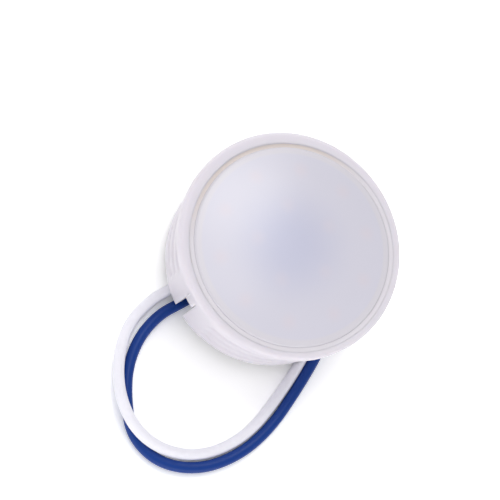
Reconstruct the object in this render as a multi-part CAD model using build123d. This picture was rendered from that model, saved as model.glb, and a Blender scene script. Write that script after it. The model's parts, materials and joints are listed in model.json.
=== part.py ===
from build123d import *
import os
from math import acos, cos, degrees, radians, sin, sqrt, tan

# Round LED lamp puck for a pool or spa light, standing on its back with the dome up.
# Millimetres. Origin: centre of the rear boss's face. +Z runs out through the dome, -Y through the lead notch.
os.makedirs("parts", exist_ok=True)

# ---------------------------------------------------------------- housing
skirt_radius = 23.1
rim_overhang = 1.9           # how far the rim stands out past the skirt
rim_thickness = 2.4
rim_round = 1.0              # rounding of the rim's outer top edge
skirt_wall = 1.4
skirt_height = 16.1          # rear edge of the skirt to the underside of the rim
boss_stand = 3.0             # how far the rear boss stands out behind the skirt
groove_count = 4             # shallow rings round the skirt
groove_pitch = 3.1
groove_first = 3.2           # rear edge of the skirt to the middle of the first ring
groove_depth = 0.35
groove_section_radius = 1.2
pad_angle = 17.5             # the smooth pad reaches this far each side of the notch, in degrees
pad_proud = 0.15
notch_width = 2.85
key_height = 5.7             # small block that fills the way from the notch up to the rim
key_width = 2.6
key_proud = 1.0

# ---------------------------------------------------------------- lens seat and lens
optics_offset = 0.5          # the seat, the lens and the LED board sit this far to +X of the skirt's axis
rim_band = 2.3               # the rim's outer edge to the seat's bore
seat_depth = 2.2
seat_edge_round = 0.35
shelf_thickness = 1.2
shelf_width = 3.3            # the seat's bore to the shelf's opening
gasket_thickness = 0.5       # foot under the lens
gasket_width = 1.7           # foot, inwards from the lens's edge
gasket_wall = 0.65           # upright part between the lens and the seat
gasket_height = 1.65         # upright part, above the seat's floor
gasket_fit = 0.02            # gasket to seat
lens_clearance = 0.05        # lens to gasket
lens_edge_height = 1.8
lens_edge_wall = 1.8
lens_edge_round = 0.65
dome_rise = 2.4
lens_wall = 1.4
lens_travel = 6.0            # lifts this far to come clear of the seat

# ---------------------------------------------------------------- LED board and spreader
board_clearance = 0.4        # board edge to the shelf opening
led_board_thickness = 1.0
thermal_pad_thickness = 0.2
thermal_pad_margin = 0.6
led_size = (3.5, 2.8, 0.65)
led_window = (2.7, 2.0, 0.2)
outer_led_count = 10
outer_led_inset = 2.2        # edge of the board to the middle of the outer LEDs
inner_led_count = 5
inner_led_radius = 8.6
spreader_thickness = 1.5
spreader_clearance = 0.2     # spreader to the ledge it passes through
spreader_hole_radius = 3.2
pin_radius = 0.4
pin_pitch = 2.54
fit = 0.02                   # shank to hole, where a screw or pin fills its hole
board_screw_circle = 12.6
screw_radius = 1.0           # M2 screws
screw_head_radius = 1.9
screw_head_height = 1.2

# ---------------------------------------------------------------- rear cover and driver cup
cover_thickness = 1.4
cover_clearance = 0.2        # cover edge to the skirt's bore
cover_above_notch = 0.2
cover_gasket_thickness = 0.5
ledge_width = 1.1
cup_radius = 12.0
cup_wall = 1.4
cup_floor = 1.0
cover_screw_inset = 3.3      # the skirt's bore to the middle of the cover screws
pillar_radius = 2.2
post_radius = 1.8
post_gap = 3.6               # the cup's outside to the middle of the posts under the spreader
post_angles = (30, 150, 270)
driver_board_thickness = 1.2
driver_board_clearance = 0.7
driver_board_height = 6.0    # underside of the driver board above the boss's face
rest_post_radius = 1.0
rest_post_inset = 1.3        # edge of the driver board to the middle of the posts it rests on
rest_post_angles = (20, 140, 305)
potting_gap = 0.8            # potting to the driver board
capacitor_radius = 3.15
capacitor_height = 7.7
choke_radius = 3.0
choke_height = 5.0
choke_flange = 1.0
bridge_size = (4.7, 3.8, 1.6)
chip_size = (3.0, 3.0, 1.1)
fuse_radius = 1.1
fuse_length = 4.4
varistor_radius = 2.2
varistor_thickness = 2.2
component_margin = 0.6       # edge of the driver board to its outer components
lead_joint_inset = 5.1       # the cup's bore to the middle of the lead joints

# ---------------------------------------------------------------- leads
lead_radius = 1.25
conductor_radius = 0.6
lead_pitch = 3.8
grommet_x = -3.1
grommet_wall = 0.6
grommet_flange = 0.45
grommet_flange_thickness = 0.8
grommet_flat = 0.6           # flat pad on the cup, proud of its round wall
grommet_floor = 0.1          # grommet flange above the boss's face
tip_length = 6.0

# ---------------------------------------------------------------- levels worked out from the sizes
rim_radius = skirt_radius + rim_overhang
seat_radius = rim_radius - rim_band
shelf_opening_radius = seat_radius - shelf_width
rear_edge = boss_stand
rim_under = rear_edge + skirt_height
rim_top = rim_under + rim_thickness
seat_floor = rim_top - seat_depth
shelf_under = seat_floor - shelf_thickness
spreader_under = shelf_under - spreader_thickness
pad_top = shelf_under + thermal_pad_thickness
led_board_top = pad_top + led_board_thickness
notch_height = skirt_height - key_height
notch_top = rear_edge + notch_height
cover_under = notch_top + cover_above_notch
cover_top = cover_under + cover_thickness
ledge_under = cover_top + cover_gasket_thickness
bore_radius = skirt_radius - skirt_wall
ledge_radius = bore_radius - ledge_width
spreader_radius = ledge_radius - spreader_clearance
cover_screw_circle = bore_radius - cover_screw_inset
led_board_radius = shelf_opening_radius - board_clearance
outer_led_radius = led_board_radius - outer_led_inset
cup_bore = cup_radius - cup_wall
post_circle = cup_radius + post_gap
driver_board_radius = cup_bore - driver_board_clearance
rest_post_circle = driver_board_radius - rest_post_inset
driver_board_top = driver_board_height + driver_board_thickness
lens_bottom = seat_floor + gasket_thickness
gasket_radius = seat_radius - gasket_fit
gasket_bore = gasket_radius - gasket_wall
lens_radius = gasket_bore - lens_clearance
dome_edge = lens_bottom + lens_edge_height
dome_top = dome_edge + dome_rise
sphere_radius = (lens_radius**2 + dome_rise**2) / (2 * dome_rise)
grommet_face = cup_radius + grommet_flat
lead_start_y = -(grommet_face + grommet_flange_thickness)
lead_exit_z = grommet_floor + grommet_flange + grommet_wall + lead_radius
lead_rest_z = lead_radius + 0.02
white_x = grommet_x - lead_pitch / 2
blue_x = grommet_x + lead_pitch / 2
lead_joint_y = -(cup_bore - lead_joint_inset)
optics = Location((optics_offset, 0, 0))
cover_angles = (90, 210, 330)
board_angles = (54, 162, 306)


def disc(radius, low, high):
    """Cylinder on the Z axis between two levels."""
    return Pos(0, 0, low) * Cylinder(radius, high - low, align=(Align.CENTER, Align.CENTER, Align.MIN))


def ring(outer, inner, low, high):
    return disc(outer, low, high) - disc(inner, low, high)


def block(size, x, y, low):
    return Pos(x, y, low) * Box(*size, align=(Align.CENTER, Align.CENTER, Align.MIN))


def round_places(radius, angles):
    return [Pos(radius * cos(radians(a)), radius * sin(radians(a)), 0) for a in angles]


def pan_screw(length):
    """Cross-recess pan-head screw: the head's seat is at z = 0 and the shank points along +Z."""
    head = disc(screw_head_radius, -screw_head_height, 0)
    head = fillet(head.edges().group_by(Axis.Z)[0], screw_head_height * 0.4)
    recess = Box(screw_head_radius * 1.1, 0.4, 1.2) + Box(0.4, screw_head_radius * 1.1, 1.2)
    return head - Pos(0, 0, -screw_head_height) * recess + disc(screw_radius, 0, length)


def save(node, shape):
    """Write one node; a list of shapes becomes one node of separate solids."""
    solids = Compound(children=list(shape)) if isinstance(shape, (list, tuple)) else shape
    export_step(solids, f"parts/{node}.step")


# ---------------------------------------------------------------- housing
def make_housing():
    body = disc(skirt_radius, rear_edge, rim_under)
    for i in range(groove_count):
        level = rear_edge + groove_first + i * groove_pitch
        body -= Pos(0, 0, level) * Torus(skirt_radius + groove_section_radius - groove_depth, groove_section_radius)
    pad = disc(skirt_radius + pad_proud, rear_edge, rim_under)
    pad_width = 2 * skirt_radius * sin(radians(pad_angle))
    body += pad & block((pad_width, skirt_radius + 1, skirt_height), 0, -(skirt_radius + 1) / 2 - 1, rear_edge)
    rim = disc(rim_radius, rim_under, rim_top)
    rim = fillet(rim.edges().group_by(Axis.Z)[-1], rim_round)
    rim = fillet(rim.edges().group_by(Axis.Z)[0], 0.3)
    body += rim
    body -= disc(bore_radius, rear_edge, shelf_under)
    body -= optics * disc(shelf_opening_radius, shelf_under, seat_floor)
    seat = optics * disc(seat_radius, seat_floor, rim_top)
    body -= seat
    edge = body.edges().filter_by(GeomType.CIRCLE).filter_by(lambda e: abs(e.radius - seat_radius) < 0.01)
    body = fillet(edge.sort_by(Axis.Z)[-1], seat_edge_round)
    body += ring(bore_radius + 0.2, ledge_radius, ledge_under, spreader_under - 0.1)
    for place in round_places(cover_screw_circle, cover_angles):
        body += place * disc(pillar_radius, ledge_under, shelf_under)
    for angle in cover_angles:
        web = block((bore_radius + 0.2 - cover_screw_circle, 2 * pillar_radius, shelf_under - ledge_under),
                    (bore_radius + 0.2 + cover_screw_circle) / 2, 0, ledge_under)
        body += Rot(0, 0, angle) * web
    for place in round_places(cover_screw_circle, cover_angles):
        body -= place * disc(screw_radius + fit, ledge_under, shelf_under - 0.3)
    key_depth = skirt_radius + key_proud - bore_radius
    body += block((key_width, key_depth, rim_under - notch_top), 0, -(bore_radius + key_depth / 2), notch_top)
    body -= block((notch_width, 2 * skirt_wall + 2, notch_height), 0, -(bore_radius + skirt_wall / 2), rear_edge)
    return body


# ---------------------------------------------------------------- lens
def make_lens():
    centre = dome_top - sphere_radius
    body = disc(lens_radius, lens_bottom, dome_top + 1) & (Pos(0, 0, centre) * Sphere(sphere_radius))
    edge = body.edges().filter_by(lambda e: e.center().Z > lens_bottom + 0.1)
    edge = edge.filter_by(lambda e: e.geom_type == GeomType.CIRCLE and abs(e.radius - lens_radius) < 0.01)
    body = fillet(edge, lens_edge_round)
    hollow = disc(lens_radius - lens_edge_wall, lens_bottom, dome_top) & (
        Pos(0, 0, centre) * Sphere(sphere_radius - lens_wall))
    return optics * (body - hollow)


def make_lens_gasket():
    """L-section ring: a foot under the lens and an upright part round its edge."""
    body = disc(gasket_radius, seat_floor, seat_floor + gasket_height)
    body -= disc(gasket_bore, lens_bottom, seat_floor + gasket_height)
    body -= disc(lens_radius - gasket_width, seat_floor, lens_bottom)
    return optics * body


# ---------------------------------------------------------------- LED board
def led_places():
    places = []
    for count, radius, start in ((outer_led_count, outer_led_radius, 0), (inner_led_count, inner_led_radius, 18)):
        for i in range(count):
            places.append(optics * Rot(0, 0, start + 360 * i / count) * Pos(radius, 0, led_board_top))
    return places


def make_led_packages():
    package = block(led_size, 0, 0, 0) - block(led_window, 0, 0, led_size[2] - led_window[2])
    return [place * package for place in led_places()]


def make_led_phosphors():
    window = block(led_window, 0, 0, led_size[2] - led_window[2])
    return [place * window for place in led_places()]


def board_screw_places():
    return [optics * place for place in round_places(board_screw_circle, board_angles)]


def pin_places():
    return [optics * Pos(side * pin_pitch / 2, 0, 0) for side in (-1, 1)]


def make_led_board():
    board = optics * disc(led_board_radius, pad_top, led_board_top)
    for place in board_screw_places():
        board -= place * disc(screw_radius + fit, pad_top, led_board_top)
    for place in pin_places():
        board -= place * disc(pin_radius + fit, pad_top, led_board_top)
    return board


def make_thermal_pad():
    pad = optics * disc(led_board_radius - thermal_pad_margin, shelf_under, pad_top)
    pad -= optics * disc(spreader_hole_radius, shelf_under, pad_top)
    for place in board_screw_places():
        pad -= place * disc(screw_radius + fit, shelf_under, pad_top)
    return pad


def make_board_screws():
    length = led_board_top - spreader_under
    return [place * Pos(0, 0, led_board_top) * Rot(180, 0, 0) * pan_screw(length) for place in board_screw_places()]


def make_heat_spreader():
    plate = disc(spreader_radius, spreader_under, shelf_under)
    plate -= optics * disc(spreader_hole_radius, spreader_under, shelf_under)
    for place in board_screw_places():
        plate -= place * disc(screw_radius + fit, spreader_under, shelf_under)
    for angle in cover_angles:
        gap = 2 * (pillar_radius + spreader_clearance)
        cut = block((bore_radius - cover_screw_circle, gap, spreader_thickness),
                    (bore_radius + cover_screw_circle) / 2, 0, spreader_under)
        cut += Pos(cover_screw_circle, 0, 0) * disc(gap / 2, spreader_under, shelf_under)
        plate -= Rot(0, 0, angle) * cut
    return plate


# ---------------------------------------------------------------- rear cover and driver
def grommet_profile(margin):
    """Stadium round both leads, in a vertical plane across the leads."""
    height = 2 * (lead_radius + grommet_wall + margin)
    return SlotOverall(lead_pitch + height, height)


def grommet_slab(margin, near, far):
    """The grommet's section drawn out along -Y from y = -near to y = -far."""
    face = Plane(origin=(grommet_x, -near, lead_exit_z), x_dir=(1, 0, 0), z_dir=(0, -1, 0))
    return extrude(face * grommet_profile(margin), far - near)


def make_rear_cover():
    cover = disc(cup_radius, 0, cover_top) + disc(bore_radius - cover_clearance, cover_under, cover_top)
    flat_width = lead_pitch + 2 * (lead_radius + grommet_wall + grommet_flange) + 1
    flat_height = lead_exit_z + lead_radius + grommet_wall + grommet_flange + 0.6
    cover += block((flat_width, grommet_face, flat_height), grommet_x, -grommet_face / 2, 0)
    cover = fillet(cover.edges().filter_by(GeomType.CIRCLE).group_by(Axis.Z)[0], 0.3)
    cover -= disc(cup_bore, cup_floor, cover_top)
    for place in round_places(rest_post_circle, rest_post_angles):
        cover += place * disc(rest_post_radius, cup_floor - 0.2, driver_board_height)
    for place in round_places(post_circle, post_angles):
        cover += place * disc(post_radius, cover_top - 0.2, spreader_under)
    for place in round_places(cover_screw_circle, cover_angles):
        cover += place * disc(pillar_radius - 0.3, cover_top - 0.2, ledge_under)
        cover -= place * disc(screw_radius + 0.15, cover_under, ledge_under)
    cover -= grommet_slab(0, cup_bore - 2, grommet_face)
    return cover


def make_cover_gasket():
    outer = bore_radius - 0.1
    return ring(outer, ledge_radius + 0.1, cover_top, ledge_under)


def make_rear_cover_screws():
    screw = Pos(0, 0, cover_under) * pan_screw(shelf_under - 0.5 - cover_under)
    return [place * screw for place in round_places(cover_screw_circle, cover_angles)]


def lead_joint_places():
    return [Pos(x, lead_joint_y, 0) for x in (white_x, blue_x)]


def make_driver_board():
    board = disc(driver_board_radius, driver_board_height, driver_board_top)
    for place in pin_places():
        board -= place * disc(pin_radius + fit, driver_board_height, driver_board_top)
    for place in lead_joint_places():
        board -= place * disc(conductor_radius + fit, driver_board_height, driver_board_top)
    return board


def make_jumper_pins():
    return [place * disc(pin_radius, driver_board_height - 0.5, led_board_top + 0.4) for place in pin_places()]


def solder_cone(radius, core, low):
    """Solder fillet round a pin: a ring of cone section."""
    cone = Pos(0, 0, low) * Cone(radius, core + 0.15, 0.6, align=(Align.CENTER, Align.CENTER, Align.MIN))
    return cone


def make_solder_joints():
    joints = []
    for place in pin_places():
        for level in (led_board_top, driver_board_top):
            joints.append(place * (solder_cone(0.95, pin_radius, level) - disc(pin_radius, level, level + 0.6)))
    for place in lead_joint_places():
        joints.append(place * (solder_cone(1.0, conductor_radius, driver_board_top)
                               + disc(conductor_radius, driver_board_height, driver_board_top)))
    return joints


def on_driver_board(angle, half_depth):
    """Place on the driver board's top, near its edge, turned so that +X points outwards."""
    reach = driver_board_radius - component_margin - half_depth
    return Rot(0, 0, angle) * Pos(reach, 0, driver_board_top)


def make_capacitor():
    can = fillet(disc(capacitor_radius, 0, capacitor_height).edges().group_by(Axis.Z)[-1], 0.4)
    return on_driver_board(140, capacitor_radius) * can


def make_choke():
    flanges = disc(choke_radius, 0, choke_flange) + disc(choke_radius, choke_height - choke_flange, choke_height)
    winding = disc(choke_radius - choke_flange / 2, 0, choke_height)
    return on_driver_board(40, choke_radius) * (flanges + winding)


def make_bridge():
    body = block(bridge_size, 0, 0, 0)
    return on_driver_board(-20, bridge_size[0] / 2) * chamfer(body.edges().group_by(Axis.Z)[-1], 0.2)


def make_chip():
    mark = Pos(-chip_size[0] / 3, chip_size[1] / 3, chip_size[2]) * Cylinder(0.25, 0.2)
    return on_driver_board(92, chip_size[0] / 2) * (block(chip_size, 0, 0, 0) - mark)


def make_fuse():
    body = Pos(0, 0, fuse_radius) * Rot(90, 0, 0) * Cylinder(fuse_radius, fuse_length)
    return on_driver_board(-70, fuse_radius) * fillet(body.edges(), 0.3)


def make_varistor():
    body = Pos(0, 0, varistor_radius) * Rot(0, 90, 0) * Cylinder(varistor_radius, varistor_thickness)
    return on_driver_board(190, varistor_thickness / 2) * fillet(body.edges(), 0.5)


def tube(points, radius):
    """Round tube along straight runs joined by arcs as large as their runs allow; returns it with its length."""
    corners = [Vector(*p) for p in points]
    radii = []
    for a, b, c in zip(corners, corners[1:], corners[2:]):
        turn = radians((b - a).get_angle(c - b))
        radii.append(0.45 * min((b - a).length, (c - b).length) / tan(turn / 2))
    path = FilletPolyline(*corners, radius=radii) if len(radii) > 0 else Line(*corners)
    start = Plane(origin=path @ 0, z_dir=path % 0)
    return sweep(start * Circle(radius), path=path), path.length, radii


def inner_lead(x):
    """Lead inside the cup: in from the grommet, then up to the driver board."""
    inner_end = -(cup_bore - 0.6)
    points = [(x, inner_end, lead_exit_z), (x, lead_joint_y, lead_exit_z), (x, lead_joint_y, driver_board_height)]
    return tube(points, lead_radius)[0]


def make_grommet():
    body = grommet_slab(0, cup_bore - 0.6, grommet_face) + grommet_slab(grommet_flange, grommet_face, -lead_start_y)
    for x in (white_x, blue_x):
        bore = Pos(x, 0, lead_exit_z) * Rot(90, 0, 0) * Cylinder(lead_radius, 4 * cup_radius)
        body -= bore
    return body


def make_potting():
    fill = disc(cup_bore, cup_floor, driver_board_height - potting_gap)
    for place in round_places(rest_post_circle, rest_post_angles):
        fill -= place * disc(rest_post_radius, cup_floor, driver_board_height)
    fill -= grommet_slab(0, cup_bore - 2, grommet_face)
    for x in (white_x, blue_x):
        fill -= inner_lead(x)
    return fill


# ---------------------------------------------------------------- leads on the table
# Each route starts at the grommet, passes under the skirt, loops on the table and ends under the body.
lay = lead_rest_z
over = lead_rest_z + 2 * lead_radius + 0.33      # the white lead's height where it crosses the blue one
ramp = (lay + over) / 2 - 0.3
white_route = [
    (white_x, lead_start_y, lead_exit_z), (white_x, lead_start_y - 3.0, lead_exit_z), (-5.0, -21.5, lay + 0.03),
    (-5.0, -27.2, lay), (-2.5, -34.8, lay), (4.0, -41.2, ramp), (11.0, -44.8, over), (18.5, -45.1, over),
    (25.2, -41.3, ramp), (30.4, -33.8, lay), (31.2, -23.0, lay), (27.0, -11.9, lay), (22.8, -3.3, lay),
    (18.2, 4.2, lay), (12.6, 10.6, lay), (5.6, 15.0, lay)]
blue_route = [
    (blue_x, lead_start_y, lead_exit_z), (blue_x, lead_start_y - 3.0, lead_exit_z), (-1.2, -21.5, lay + 0.03),
    (-1.3, -27.0, lay), (0.9, -33.5, lay), (5.6, -39.3, lay), (12.0, -43.2, lay), (19.0, -45.8, lay),
    (26.8, -43.4, lay), (32.3, -36.2, lay), (33.9, -26.8, lay), (32.4, -17.6, lay), (28.7, -8.3, lay),
    (24.4, 0.1, lay), (19.2, 7.6, lay), (12.0, 15.1, lay)]


def lead_tip(route):
    """Stripped and tinned end that carries on straight from the insulation."""
    before, end = Vector(*route[-2]), Vector(*route[-1])
    along = (end - before).normalized()
    face = Plane(origin=end, z_dir=along)
    body = extrude(face * Circle(conductor_radius), tip_length)
    return fillet(body.faces().sort_by(lambda f: (f.center() - end).dot(along))[-1].edges(), 0.3)


def main():
    save("housing", make_housing())
    save("diffuser_lens", make_lens())
    save("lens_gasket", make_lens_gasket())
    save("led_board", make_led_board())
    save("led_packages", make_led_packages())
    save("led_phosphors", make_led_phosphors())
    save("board_screws", make_board_screws())
    save("thermal_pad", make_thermal_pad())
    save("heat_spreader", make_heat_spreader())
    save("rear_cover", make_rear_cover())
    save("rear_cover_screws", make_rear_cover_screws())
    save("cover_gasket", make_cover_gasket())
    save("driver_board", make_driver_board())
    save("bridge_rectifier", make_bridge())
    save("driver_chip", make_chip())
    save("smoothing_capacitor", make_capacitor())
    save("choke", make_choke())
    save("fuse_resistor", make_fuse())
    save("varistor", make_varistor())
    save("jumper_pins", make_jumper_pins())
    save("solder_joints", make_solder_joints())
    save("potting_compound", make_potting())
    save("lead_grommet", make_grommet())
    for colour, x, route in (("white", white_x, white_route), ("blue", blue_x, blue_route)):
        save(f"{colour}_lead_inner", inner_lead(x))
        lead, length, radii = tube(route, lead_radius)
        save(f"{colour}_lead", lead)
        save(f"{colour}_lead_tip", lead_tip(route))
        section = 3.14159265 * lead_radius**2
        print(f"{colour} lead: length {length:.1f}, volume / (section x length) {lead.volume / (section * length):.5f}")
        print("   radii", [round(r, 1) for r in radii])


main()
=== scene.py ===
"""Round LED lamp puck for a pool or spa light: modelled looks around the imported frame."""
import json
import math

import bmesh
import bpy
from bpy.props import FloatProperty, FloatVectorProperty, IntProperty, PointerProperty
from mathutils import Matrix, Vector


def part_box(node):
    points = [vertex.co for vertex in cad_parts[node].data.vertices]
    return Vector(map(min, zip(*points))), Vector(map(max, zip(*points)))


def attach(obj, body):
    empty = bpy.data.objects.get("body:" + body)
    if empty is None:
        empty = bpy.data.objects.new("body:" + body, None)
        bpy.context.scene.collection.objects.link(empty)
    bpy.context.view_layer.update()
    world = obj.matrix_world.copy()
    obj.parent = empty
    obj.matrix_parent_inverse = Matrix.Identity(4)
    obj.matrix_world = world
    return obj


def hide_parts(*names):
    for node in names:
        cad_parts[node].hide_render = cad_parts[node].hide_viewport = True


bl_info = {
    "name": "Round LED Lamp Puck",
    "version": (1, 0, 0),
    "blender": (4, 5, 0),
    "location": "View3D > Sidebar > Lamp Puck",
    "description": "Builds the housing, lens, LEDs, screws and leads of a round pool or spa lamp",
    "category": "Object",
}

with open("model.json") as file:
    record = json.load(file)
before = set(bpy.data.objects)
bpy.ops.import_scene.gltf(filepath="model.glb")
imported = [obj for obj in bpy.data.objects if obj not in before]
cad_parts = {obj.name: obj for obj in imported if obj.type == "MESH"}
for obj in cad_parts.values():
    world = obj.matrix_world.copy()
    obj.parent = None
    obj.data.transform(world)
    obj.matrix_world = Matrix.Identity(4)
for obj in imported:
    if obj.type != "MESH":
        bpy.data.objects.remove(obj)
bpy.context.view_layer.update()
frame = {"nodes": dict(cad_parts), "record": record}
MM = 0.001
LAMP, LENS = "lamp", "lens"


# ---------------------------------------------------------------- sizes read from the frame, in millimetres
def node_box(node):
    """The two corners of a frame node's box."""
    low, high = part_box(node)
    return low / MM, high / MM


HOUSING_LOW, HOUSING_HIGH = node_box("housing")
LENS_LOW, LENS_HIGH = node_box("diffuser_lens")
COVER_HIGH = node_box("rear_cover")[1]
BOARD_LOW, BOARD_HIGH = node_box("led_board")
GASKET_LOW, GASKET_HIGH = node_box("lens_gasket")
RIM_RADIUS = HOUSING_HIGH.x
REAR_EDGE = HOUSING_LOW.z
RIM_TOP = HOUSING_HIGH.z
BOARD_TOP = BOARD_HIGH.z
OPTICS = Vector(((LENS_LOW.x + LENS_HIGH.x) / 2, 0, 0))      # middle of the lens, its seat and the LED board
LENS_RADIUS = (LENS_HIGH.x - LENS_LOW.x) / 2
SEAT_RADIUS = (GASKET_HIGH.x - GASKET_LOW.x) / 2 + 0.02      # the gasket's outside and its clearance
SEAT_FLOOR = GASKET_LOW.z
SEAT_ROUND = 0.6                                             # rounded edge where the rim meets the seat
SHELF_UNDER = SEAT_FLOOR - 1.2                               # underside of the shelf over the heat spreader
SHELF_OPENING = (BOARD_HIGH.x - BOARD_LOW.x) / 2 + 0.4
LEDGE_WIDTH, LEDGE_UNDER, LEDGE_TOP = 1.1, 15.5, 16.5        # the ledge that the rear cover is screwed to
WALL = 1.4                                                   # of the skirt
NOTCH_HALF = 1.425                                           # half the width of the lead notch
KEY_HEIGHT, KEY_HALF = 5.7, 1.3                              # the block over the notch, and half its width
LEADS_X, LEAD_PITCH, LEAD_EXIT = -3.1, 3.8, 2.4              # middle of the two leads, their spacing, their height
GROMMET_WALL = 0.6                                           # of the grommet round a lead
SEAL_DEEP_SHADE = math.radians(172)                                # direction in which the lens seal lies deepest and is painted in warm shade
SCREW_HEAD = 1.2                                             # height of a screw's head


# ---------------------------------------------------------------- what a user would change
class HousingSizes(bpy.types.PropertyGroup):
    skirt_radius: FloatProperty(name="Skirt radius", description="Outside of the skirt, mm", default=23.1)
    rim_thickness: FloatProperty(name="Rim thickness", description="Height of the rim, mm", default=2.4)
    rim_round: FloatProperty(name="Rim rounding", description="Radius of the rim's outer top edge, mm", default=1.0)
    ring_count: IntProperty(name="Rings", description="Shallow rings round the skirt", default=4)
    ring_pitch: FloatProperty(name="Ring pitch", description="From one ring to the next, mm", default=3.1)
    ring_first: FloatProperty(name="First ring", description="Rear edge to the first ring, mm", default=3.2)
    ring_depth: FloatProperty(name="Ring depth", description="Depth of a ring, mm", default=0.35)
    ring_section: FloatProperty(name="Ring section", description="Radius of a ring's section, mm", default=1.2)
    pad_angle: FloatProperty(name="Pad angle", default=17.5,
                             description="Reach of the smooth pad each side of the notch, degrees")
    colour: FloatVectorProperty(name="Colour", description="Moulded plastic", subtype="COLOR",
                                default=(0.72, 0.688, 0.748))


class LensSizes(bpy.types.PropertyGroup):
    edge_height: FloatProperty(name="Edge", description="Height of the lens's upright edge, mm", default=1.8)
    edge_round: FloatProperty(name="Edge rounding", description="Radius of the dome's edge, mm", default=0.65)
    edge_wall: FloatProperty(name="Edge wall", description="Wall of the upright edge, mm", default=1.8)
    wall: FloatProperty(name="Wall", description="Wall of the dome, mm", default=1.4)
    colour: FloatVectorProperty(name="Colour", description="Opal plastic near its edge", subtype="COLOR",
                                default=(0.635, 0.621, 0.708))
    # painted shade: the deep colour is a darker, bluer shade painted over the dome's middle
    deep_shade: FloatVectorProperty(name="Deep colour", description="Opal plastic over the hollow", subtype="COLOR",
                              default=(0.545, 0.55, 0.685))


class LedSizes(bpy.types.PropertyGroup):
    outer_count: IntProperty(name="Outer LEDs", description="LEDs in the outer ring", default=10)
    outer_radius: FloatProperty(name="Outer ring", description="Middle of the outer LEDs, mm", default=16.8)
    inner_count: IntProperty(name="Inner LEDs", description="LEDs in the inner ring", default=5)
    inner_radius: FloatProperty(name="Inner ring", description="Middle of the inner LEDs, mm", default=8.6)
    inner_start: FloatProperty(name="Inner start", description="Angle of the first inner LED, degrees", default=18.0)


class CoverSizes(bpy.types.PropertyGroup):
    cup_radius: FloatProperty(name="Cup radius", description="Outside of the driver cup, mm", default=12.0)
    cup_bore: FloatProperty(name="Cup bore", description="Inside of the driver cup, mm", default=10.6)
    floor: FloatProperty(name="Cup floor", description="Thickness of the cup's floor, mm", default=1.0)
    plate: FloatProperty(name="Plate", description="Thickness of the cover's plate, mm", default=1.4)
    pad_width: FloatProperty(name="Pad width", description="Flat pad round the leads, mm", default=9.4)
    pad_height: FloatProperty(name="Pad height", description="Top of the flat pad, mm", default=5.3)
    pad_face: FloatProperty(name="Pad face", description="The lamp's axis to the flat pad's face, mm", default=12.6)


class LeadSizes(bpy.types.PropertyGroup):
    radius: FloatProperty(name="Radius", description="Radius over the insulation, mm", default=1.25)
    conductor: FloatProperty(name="Conductor", description="Radius over the bare strands, mm", default=0.6)
    tip_length: FloatProperty(name="Tip", description="Stripped length at a lead's end, mm", default=6.0)
    white: FloatVectorProperty(name="White", description="White insulation", subtype="COLOR",
                               default=(0.87, 0.86, 0.93))
    blue: FloatVectorProperty(name="Blue", description="Blue insulation", subtype="COLOR",
                              default=(0.008, 0.043, 0.238))


class StageSettings(bpy.types.PropertyGroup):
    azimuth: FloatProperty(name="Azimuth", description="Camera's place round the lamp, degrees", default=7.7)
    elevation: FloatProperty(name="Elevation", description="Camera's height over the floor, degrees", default=67.807)
    roll: FloatProperty(name="Roll", description="Camera's roll, degrees", default=53.354)
    distance: FloatProperty(name="Distance", description="Camera to the point it aims at, mm", default=400.0)
    lens: FloatProperty(name="Focal length", description="On a 36 mm sensor, mm", default=131.8)
    key: FloatProperty(name="Key light", description="Strength of the soft lights overhead", default=1.0)
    fill: FloatProperty(name="Fill light", description="Strength of the low soft lights", default=1.0)


SETTINGS = {"puck_housing": HousingSizes, "puck_lens": LensSizes, "puck_leds": LedSizes, "puck_cover": CoverSizes,
            "puck_leads": LeadSizes, "puck_stage": StageSettings}


# ---------------------------------------------------------------- node graphs
class Graph:
    """Adds nodes to a tree and links them. Inputs may be sockets or plain values."""

    def __init__(self, tree):
        self.tree = tree

    def feed(self, socket, value):
        if isinstance(value, bpy.types.NodeSocket):
            self.tree.links.new(value, socket)
        else:
            socket.default_value = value

    def add(self, kind, inputs=None, **settings):
        node = self.tree.nodes.new(kind)
        for key, value in settings.items():
            setattr(node, key, value)
        for key, value in (inputs or {}).items():
            self.feed(node.inputs[key], value)
        return node

    def math(self, operation, *values):
        node = self.add("ShaderNodeMath", operation=operation)
        for socket, value in zip(node.inputs, values):
            self.feed(socket, value)
        return node.outputs[0]

    def vector(self, operation, *values):
        node = self.add("ShaderNodeVectorMath", operation=operation)
        for socket, value in zip(node.inputs, values):
            self.feed(socket, value)
        return node.outputs["Value" if operation in ("LENGTH", "DOT_PRODUCT") else "Vector"]

    def scaled(self, vector, factor):
        node = self.add("ShaderNodeVectorMath", {0: vector, "Scale": factor}, operation="SCALE")
        return node.outputs["Vector"]

    def hypotenuse(self, a, b):
        squares = [self.math("MULTIPLY", side, side) for side in (a, b)]
        return self.math("SQRT", self.math("ADD", *squares))

    def smooth(self, value, low, high, out_low=0.0, out_high=1.0):
        inputs = {"Value": value, "From Min": low, "From Max": high, "To Min": out_low, "To Max": out_high}
        return self.add("ShaderNodeMapRange", inputs, interpolation_type="SMOOTHSTEP").outputs["Result"]

    def mix_colour(self, factor, a, b):
        node = self.add("ShaderNodeMix", data_type="RGBA")
        for socket, value in zip((node.inputs[0], node.inputs[6], node.inputs[7]), (factor, a, b)):
            self.feed(socket, value)
        return node.outputs[2]


def new_group(name, kind, inputs, outputs):
    """A node group with named sockets; returns its graph and its two end nodes."""
    tree = bpy.data.node_groups.new(name, kind)
    for side, sockets in (("INPUT", inputs), ("OUTPUT", outputs)):
        for label, (socket, default) in sockets.items():
            made = tree.interface.new_socket(name=label, in_out=side, socket_type=socket)
            if default is not None:
                made.default_value = default
    graph = Graph(tree)
    return graph, graph.add("NodeGroupInput"), graph.add("NodeGroupOutput")


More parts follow.
